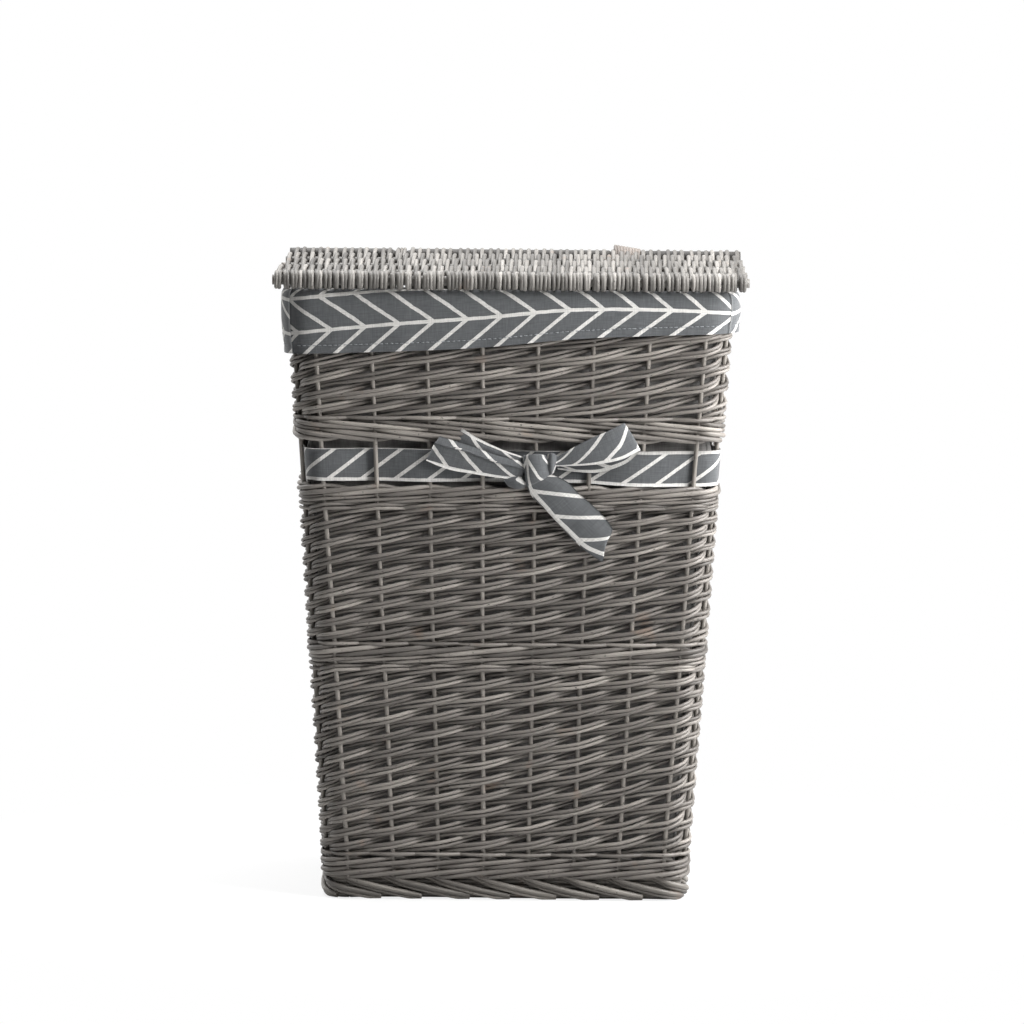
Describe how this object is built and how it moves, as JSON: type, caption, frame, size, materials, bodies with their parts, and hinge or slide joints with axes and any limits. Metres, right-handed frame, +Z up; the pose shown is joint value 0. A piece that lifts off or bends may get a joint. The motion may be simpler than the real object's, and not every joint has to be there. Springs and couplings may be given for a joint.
{
  "type": "woven laundry hamper",
  "caption": "Tapered rectangular wicker laundry hamper with a hinged woven lid, a fabric liner turned over the rim as a cuff, and a ribbon tied in a bow.",
  "frame": {"origin": "on the floor under the middle of the hamper", "axes": "+Z up, +X to the right, the front with the bow towards -Y"},
  "size_m": [0.4508, 0.3408, 0.6002],
  "materials": {
    "willow_weave": "grey-washed peeled willow weavers, satin",
    "willow_stick": "grey-washed willow sticks, satin",
    "liner_cotton": "plain woven slate grey cotton",
    "cuff_cotton": "slate grey cotton printed with a pale herringbone",
    "ribbon_fabric": "slate grey cotton ribbon with a pale printed edge"
  },
  "bodies": {
    "body": {"stake_front_1": "willow_stick", "stake_front_2": "willow_stick", "stake_front_3": "willow_stick", "stake_front_4": "willow_stick", "stake_front_5": "willow_stick", "stake_front_6": "willow_stick", "stake_front_7": "willow_stick", "stake_front_8": "willow_stick", "stake_right_1": "willow_stick", "stake_right_2": "willow_stick", "stake_right_3": "willow_stick", "stake_right_4": "willow_stick", "stake_right_5": "willow_stick", "stake_right_6": "willow_stick", "stake_back_1": "willow_stick", "stake_back_2": "willow_stick", "stake_back_3": "willow_stick", "stake_back_4": "willow_stick", "stake_back_5": "willow_stick", "stake_back_6": "willow_stick", "stake_back_7": "willow_stick", "stake_back_8": "willow_stick", "stake_left_1": "willow_stick", "stake_left_2": "willow_stick", "stake_left_3": "willow_stick", "stake_left_4": "willow_stick", "stake_left_5": "willow_stick", "stake_left_6": "willow_stick", "foot_border": "willow_weave", "base_weave": "willow_weave", "bottom_wale": "willow_weave", "lower_weave": "willow_weave", "middle_wale": "willow_weave", "middle_weave": "willow_weave", "gap_wale_low": "willow_weave", "gap_wale_high": "willow_weave", "top_weave": "willow_weave", "top_border": "willow_weave", "hinge_loop_left": "willow_stick", "hinge_loop_right": "willow_stick", "liner_front": "liner_cotton", "liner_right": "liner_cotton", "liner_back": "liner_cotton", "liner_left": "liner_cotton", "liner_base": "liner_cotton", "cuff_front": "cuff_cotton", "cuff_right": "cuff_cotton", "cuff_back": "cuff_cotton", "cuff_left": "cuff_cotton", "ribbon": "ribbon_fabric", "bow_knot": "ribbon_fabric", "bow_loop_left": "ribbon_fabric", "bow_loop_right": "ribbon_fabric", "bow_tail": "ribbon_fabric"},
    "lid": {"lid_stick_back": "willow_stick", "lid_stick_inner_1": "willow_stick", "lid_stick_inner_2": "willow_stick", "lid_stick_inner_3": "willow_stick", "lid_stick_front": "willow_stick", "lid_weave": "willow_weave"}
  },
  "joints": [
    {"name": "lid_hinge", "type": "hinge", "parent": "body", "child": "lid", "pos_m": [0, 0.16215, 0.592], "axis": [-1, 0, 0], "range_deg": [0, 225]}
  ]
}
